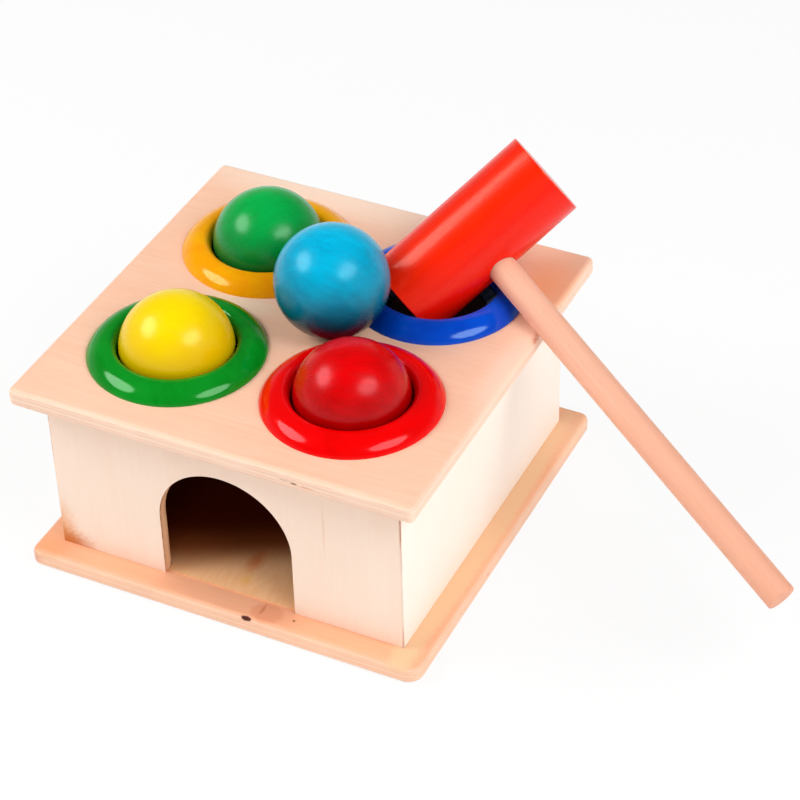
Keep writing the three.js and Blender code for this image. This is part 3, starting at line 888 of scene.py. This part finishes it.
def ring_shape(name, mouth):
    """One moulded ring: a domed flange, a bore with a rounded mouth, and a sleeve with a seat for its lip.

    mouth is the bore's radius at its narrowest place, just above the board.
    """
    top = TOP_LOW + BOARD_THICK
    crest = RING_BORE + CREST_INSET
    reach = RING_RADIUS - crest
    dome = (reach ** 2 + RING_RISE ** 2) / (2 * RING_RISE)
    crest_height = top + RING_RIM_HEIGHT + RING_RISE
    rim = math.degrees(math.atan2(dome - RING_RISE, reach))
    profile = [
        (LIP_SEAT_RADIUS, SLEEVE_FOOT), (LIP_SEAT_RADIUS, LIP_SEAT_TOP), (RING_BORE, LIP_SEAT_TOP),
        (RING_BORE, top - 2.5), (mouth + 0.15, top - 0.9),
        *rounding(crest, crest_height - MOUTH_ROUND, (crest - mouth, MOUTH_ROUND), 180, 90, 10),
        *rounding(crest, crest_height - dome, (dome, dome), 90, rim, 14)[1:],
        (RING_RADIUS, top), (SLEEVE_RADIUS, top), (SLEEVE_RADIUS, SLEEVE_FOOT), (LIP_SEAT_RADIUS, SLEEVE_FOOT),
    ]
    return smooth(lathe(name, profile, 96, closed=True))


def rings():
    """The three rings that hug a ball are copies of one. The blue one stands open round the hammer's head."""
    hugging = ring_shape("green_ring_plastic", BALL_RADIUS + BALL_GAP)
    made = {
        "green_ring": hugging,
        "amber_ring": copy_of(hugging, "amber_ring_plastic"),
        "red_ring": copy_of(hugging, "red_ring_plastic"),
        "blue_ring": ring_shape("blue_ring_plastic", RING_BORE),
    }
    for node, item in made.items():
        put(item, (*RING_PLACES[node], 0))
    return made


def ball_shape():
    """A ball: a cube, cut up finely and blown round."""
    size = 2 * BALL_RADIUS
    item = block("yellow_ball_wood", (-size / 2,) * 3, (size / 2,) * 3)
    edit(item)
    select_all()
    bpy.ops.mesh.subdivide(number_cuts=23)
    select_all()
    bpy.ops.transform.tosphere(value=1)
    reach = max(corner.co.length for corner in bmesh.from_edit_mesh(item.data).verts)
    ratio = BALL_RADIUS * MM / reach
    bpy.ops.transform.resize(value=(ratio, ratio, ratio), center_override=(0, 0, 0))
    leave()
    return smooth(item, 60)


def balls():
    """The four balls, one made and copied, each at its resting place."""
    first = ball_shape()
    made = [first] + [copy_of(first, name + "_wood") for name in list(BALL_PLACES)[1:]]
    for item, place in zip(made, BALL_PLACES.values()):
        put(item, place)
    return made


def stick(name, radius, low, high, edge, flat, around):
    """A round stick on the Z axis with rounded edges. flat lists the loops on its ends, from the middle."""
    profile = [
        *[(loop, low) for loop in flat],
        *rounding(radius - edge, low + edge, (edge, edge), -90, 0, 4),
        *rounding(radius - edge, high - edge, (edge, edge), 0, 90, 4),
        *[(loop, high) for loop in reversed(flat)],
    ]
    return lathe(name, profile, around)


def hammer():
    """Head and handle, made at the origin and then laid as they rest."""
    head = stick("hammer_head_wood", HEAD_RADIUS, -HEAD_LENGTH / 2, HEAD_LENGTH / 2, 0.5, (6, 12), 96)
    bpy.ops.mesh.primitive_cylinder_add(
        vertices=64, radius=(HANDLE_RADIUS + PLAY) * MM, depth=(SOCKET_TO - SOCKET_FROM) * MM,
        rotation=(0, math.radians(90), 0), location=((SOCKET_FROM + SOCKET_TO) / 2 * MM, 0, 0))
    socket = bpy.context.object
    settle(socket)
    carve(head, socket)
    smooth(head, weighted=True)
    handle = smooth(stick("hammer_handle_wood", HANDLE_RADIUS, HANDLE_FROM, HANDLE_REACH, 0.45, (3,), 64))
    put(handle, (0, 0, 0), Matrix.Rotation(math.radians(90), 4, "Y"))
    for item in (head, handle):
        put(item, HEAD_MIDDLE, hammer_turn())
    return head, handle


def nails():
    """Wire nails, one made and copied: a flat round head, a straight shank and a point."""
    edge = 0.25
    shank = [
        (1.0, NAIL_SINK), *rounding(NAIL_HEAD_RADIUS - edge, NAIL_SINK + edge, (edge, edge), -90, 90, 4),
        (NAIL_RADIUS, 1.2), (NAIL_RADIUS, 19.8), (0.5, 21.2), (0.08, 22.3),
    ]
    first = smooth(lathe("base_nail_wire_1", shank, 20))
    made = [first] + [copy_of(first, "base_nail_wire_%d" % number) for number in range(2, 9)]
    for item, (x, y) in zip(made, nail_places()):
        put(item, (x, y, 0))
    return made


# Studio

def lamp(name, way, size, power, mirrored=True):
    """An oval soft light that shines at the bench from one direction. Only softboxes are mirrored in gloss."""
    distance, width, height = size
    light = bpy.data.lights.new(name, "AREA")
    light.shape = "ELLIPSE"
    light.size = width
    light.size_y = height
    light.energy = power
    holder = bpy.data.objects.new(name, light)
    bpy.context.scene.collection.objects.link(holder)
    way = Vector(way).normalized()
    holder.location = LIT_MIDDLE + way * distance
    holder.rotation_euler = way.to_track_quat("Z", "Y").to_euler()
    holder.visible_glossy = mirrored


def studio():
    """Two softboxes, a wide weak spill round each, three weak fills, and a room that is darker overhead."""
    left, right = (-0.667, -0.311, 0.688), (0.662, -0.179, 0.727)
    lamp("left softbox", left, SOFTBOX, 8.4)
    lamp("left spill", left, SPILL, 3, mirrored=False)
    lamp("right softbox", right, SOFTBOX, 7.4)
    lamp("right spill", right, SPILL, 3, mirrored=False)
    lamp("side fill", (0.95, 0.05, 0.20), NEAR_FILL, 3.5, mirrored=False)
    lamp("front fill", (0.35, -0.85, 0.35), FAR_FILL, 3.6, mirrored=False)
    lamp("back fill", (-0.35, 0.88, 0.25), FAR_FILL, 4, mirrored=False)
    world = bpy.data.worlds.new("white studio")
    world.use_nodes = True
    bpy.context.scene.world = world
    tree = world.node_tree
    tree.nodes.clear()
    way = place_node(tree, "ShaderNodeTexCoord").outputs["Generated"]
    height = axes(tree, way)["Z"]
    strength = ramp_to(tree, height, 0.12, 0.5, 0.5, 0.1)
    backdrop = place_node(tree, "ShaderNodeBackground", {"Color": (1, 1, 1, 1), "Strength": strength})
    output = place_node(tree, "ShaderNodeOutputWorld")
    tree.links.new(backdrop.outputs[0], output.inputs["Surface"])


def floor():
    """A plain white floor. Most of what the camera sees of it is its own white, so its shadow stays faint."""
    bpy.ops.mesh.primitive_plane_add(size=12, location=(0, 0, 0))
    item = bpy.context.object
    item.name = "floor"
    settle(item)
    material = bpy.data.materials.new("white floor")
    material.use_nodes = True
    tree = material.node_tree
    shader = tree.nodes["Principled BSDF"]
    shader.inputs["Base Color"].default_value = (0.94, 0.94, 0.94, 1)
    shader.inputs["Roughness"].default_value = 0.9
    shader.inputs["Specular IOR Level"].default_value = 0.0
    glow = place_node(tree, "ShaderNodeEmission", {"Color": (1, 1, 1, 1), "Strength": 1.0})
    path = place_node(tree, "ShaderNodeLightPath").outputs
    seen = sums(tree, "MAXIMUM", path["Is Camera Ray"], path["Is Glossy Ray"])
    seen = sums(tree, "MAXIMUM", seen, path["Is Transmission Ray"])
    share = times(tree, seen, 0.87)
    both = place_node(tree, "ShaderNodeMixShader", {0: share, 1: shader.outputs[0], 2: glow.outputs[0]})
    tree.links.new(both.outputs[0], tree.nodes["Material Output"].inputs["Surface"])
    item.data.materials.append(material)


def camera():
    """The photograph's viewpoint."""
    lens = bpy.data.cameras.new("camera")
    lens.lens = CAMERA_LENS
    lens.sensor_width = 36
    lens.clip_start = 0.01
    lens.clip_end = 50
    holder = bpy.data.objects.new("camera", lens)
    bpy.context.scene.collection.objects.link(holder)
    right, back = Vector(CAMERA_RIGHT).normalized(), Vector(CAMERA_BACK).normalized()
    up = back.cross(right).normalized()
    right = up.cross(back).normalized()
    turn = Matrix((right, up, back)).transposed().to_4x4()
    holder.matrix_world = Matrix.Translation(CAMERA_PLACE) @ turn
    bpy.context.scene.camera = holder


# Putting it together

def dress(item, body, slot, material, *nodes):
    """Gives a piece its material, and lets it ride on its body in its CAD nodes' place."""
    item.data.materials.clear()
    item.data.materials.append(material)
    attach(item, body)
    if nodes:
        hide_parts(*nodes)


def cover(node, material):
    """A better material for a CAD node whose shape stays."""
    for place in node.material_slots:
        place.material = material


# Marks: middle, size, colour, strength, softness, raggedness. Some of them are painted light or painted shade,
# as noted.
TOP_MARKS_AND_PAINTED_LIGHT = [
    ((33.5, -85, 84.6), (3.6, 2, 0.4), (176, 112, 84), 0.6, 0.8, 0.3),
    ((42.5, -85, 84.0), (4.2, 2, 0.7), (226, 150, 96), 0.6, 0.8, 0.3),
    ((37.4, -85, 84.2), (1.7, 2, 0.6), (142, 76, 46), 0.9, 0.5, 0.4),
    ((85, 25, 87.4), (2, 2.2, 1.6), (216, 112, 50), 0.8, 0.6, 0.4),
    # Painted light: a broad lighter band over the board's back half.
    ((-25, 86, 88.5), (100, 27, 4), (255, 227, 205), 0.9, 0.8, 0.3),
    # Painted light: a lighter patch between the rings, over the blue ball's shadow.
    ((-29, 1, 88.5), (24, 11, 3), (255, 232, 204), 0.8, 0.9, 0.3),
    # Painted light: a lighter strip along the board's right edge.
    ((84, 4, 88.5), (12, 42, 4), (255, 224, 202), 0.6, 0.8, 0.3),
    # Painted shadow: the hammer's shade on the board's far right, with the warm light bounced off its head
    # painted in as orange.
    ((74, 56, 88.5), (20, 30, 4), (255, 172, 108), 0.6, 0.9, 0.1),
]
BASE_MARKS_AND_PAINTED_LIGHT = [
    ((12.2, -84.4, 7.4), (2.7, 1.2, 1.2), (84, 28, 8), 1.0, 0.35, 0.5),
    ((18.5, -79.0, 8), (8.0, 6.2, 3), (236, 156, 118), 0.75, 0.35, 0.35),
    ((16.2, -77.8, 8), (1.0, 4.2, 2), (200, 104, 64), 0.6, 0.8, 0.5),
    ((-79, -80, 8), (13, 11, 4), (240, 162, 104), 0.45, 0.9, 0.5),
    ((-84, -84, 4), (6, 5, 4), (212, 112, 88), 0.5, 0.9, 0.4),
    ((30, -78.7, 8), (0.7, 0.7, 1), (122, 66, 36), 0.9, 0.5, 0.2),
    ((85, -20, 4), (1, 0.8, 0.8), (205, 110, 90), 0.7, 0.6, 0.4),
    ((85, -46, 5), (1, 0.7, 0.7), (205, 110, 90), 0.6, 0.6, 0.4),
    # Painted light: a long lighter strip along the base's right side.
    ((76.5, -10, 8), (8.2, 115, 6), (242, 197, 155), 1.0, 0.4, 0.3),
    # Painted light: a lighter patch at the base's right back.
    ((83, 68, 7), (10, 26, 8), (255, 210, 172), 0.5, 0.9, 0.2),
]
FRONT_MARKS = [
    ((-75, -75, 12), (10, 3, 24), (238, 166, 110), 0.85, 0.95, 0.5),
    ((-73, -75, 8), (17, 3, 11), (214, 128, 62), 1.0, 0.95, 0.6),
    ((43, -75, 56), (0.8, 1, 19), (236, 196, 168), 0.45, 0.9, 0.3),
]
BLUE_RING_PAINTED_SHADOW = [
    # Painted shadow: the ring's left part, darkened where the ball and the hammer shade it.
    ((24, 10, 92), (20, 16, 9), (0, 14, 72), 0.75, 0.9, 0.1),
]

# Plastics: the colour, the deeper colour and the gleam's tint
PLASTICS = {
    "green_ring": (shade(8, 146, 34), shade(2, 132, 24), (0.6, 1, 0.65, 1)),
    "amber_ring": (shade(255, 178, 0), shade(255, 160, 0), (1, 0.95, 0.5, 1)),
    "red_ring": (shade(242, 0, 2), shade(232, 0, 0), (1, 0.42, 0.45, 1)),
    "blue_ring": (shade(0, 82, 216), shade(0, 66, 196), (0.6, 0.9, 1, 1), BLUE_RING_PAINTED_SHADOW),
}

# Paints: the slot, then what ball_paint takes from the paint on. Its third colour is a painted shade that
# darkens the ball downwards.
PAINTS = {
    "yellow_ball": ("yellow_paint", shade(255, 224, 0), shade(254, 208, 0), shade(206, 150, 0),
                    (-0.45, 0.0), (1, 0.95, 0.6, 1), 0.35, (0.1, 0.25, 0.3)),
    "green_ball": ("green_paint", shade(0, 188, 82), shade(0, 150, 52), shade(0, 60, 2),
                   (-0.3, 0.08), (0.7, 1, 0.8, 1), 0.35, (0.2, -0.1, 0.9)),
    "red_ball": ("red_paint", shade(238, 0, 4), shade(178, 0, 0), shade(112, 0, 0),
                 (-0.45, 0.02), (1, 0.5, 0.55, 1), 0.4, (0.0, 0.2, 0.5)),
    "blue_ball": ("light_blue_paint", shade(0, 204, 248), shade(0, 140, 184), shade(0, 32, 56),
                  (-0.45, 0.1), (0.5, 0.9, 1, 1), 0.35, (0.3, 0.4, 0.2)),
}


def dress_box(cad):
    """The two boards, the four walls and the sloped floor."""
    top = top_board()
    top_wood = board_wood("board_plywood", TOP_LOW, TOP_MARKS_AND_PAINTED_LIGHT,
                          shade(255, 209, 181), shade(248, 190, 157), shade(255, 230, 210))
    dress(top, "bench", "board_plywood", top_wood, "top_board")
    base = base_board()
    # Painted shade: the base's plywood is a darker, more orange copy of the top's, for the shade under the
    # box's overhang.
    shaded_base_wood = board_wood("base_plywood", 0, BASE_MARKS_AND_PAINTED_LIGHT,
                           shade(250, 187, 149), shade(242, 168, 128), shade(255, 220, 193))
    dress(base, "bench", "board_plywood", shaded_base_wood, "base_board")

    front_wood = wall_wood("front_plywood", FRONT_MARKS, shade(255, 234, 215), shade(253, 221, 200))
    # Painted light: the three plain walls get a paler copy of the front wall's plywood, for the brighter light
    # on the right wall.
    painted_lit_wall_wood = wall_wood("wall_plywood", [], shade(255, 244, 232), shade(255, 236, 222))
    dress(front_wall(), "bench", "wall_plywood", front_wood, "front_wall")
    for item, node in zip(plain_walls(), ("right_wall", "back_wall", "left_wall")):
        dress(item, "bench", "wall_plywood", painted_lit_wall_wood, node)

    sloped_floor = ramp_wood()
    for node in ("ramp_board", "ramp_batten"):
        cover(cad[node], sloped_floor)


def dress_rings(cad):
    """The four rings and their lips. The open ring's lip gets a dark copy of the blue plastic: painted shade
    for the hammer head's shade in its bore.
    """
    plastics = {node: ring_plastic(node.split("_")[0] + "_plastic", *look) for node, look in PLASTICS.items()}
    # Painted shade: a near-black blue plastic for the open ring's lip.
    lip_painted_shade = ring_plastic("blue_lip_painted_shade", shade(20, 16, 40), shade(12, 8, 24), (0.4, 0.6, 1, 1))
    for node, item in rings().items():
        dress(item, "bench", node.split("_")[0] + "_plastic", plastics[node], node)
        cover(cad[node + "_lip"], lip_painted_shade if node == "blue_ring" else plastics[node])


def dress_loose_pieces():
    """The balls, the hammer and the nails."""
    for item, (node, (slot, *look)) in zip(balls(), PAINTS.items()):
        dress(item, node, slot, ball_paint(slot, BALL_PLACES[node], *look), node)

    head, handle = hammer()
    dress(head, "hammer", "orange_red_paint", head_paint(), "hammer_head")
    dress(handle, "hammer", "beech", handle_wood(), "hammer_handle")

    steel = nail_metal()
    for number, item in enumerate(nails(), 1):
        dress(item, "bench", "nail_steel", steel, "base_nail_%d" % number)


def main():
    """Loads the CAD frame and dresses it in its studio."""
    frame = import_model()
    deselect()
    bpy.context.scene.view_settings.view_transform = "Standard"
    camera()
    studio()
    floor()
    make_effects()
    dress_box(frame["nodes"])
    dress_rings(frame["nodes"])
    dress_loose_pieces()

    deselect()


main()
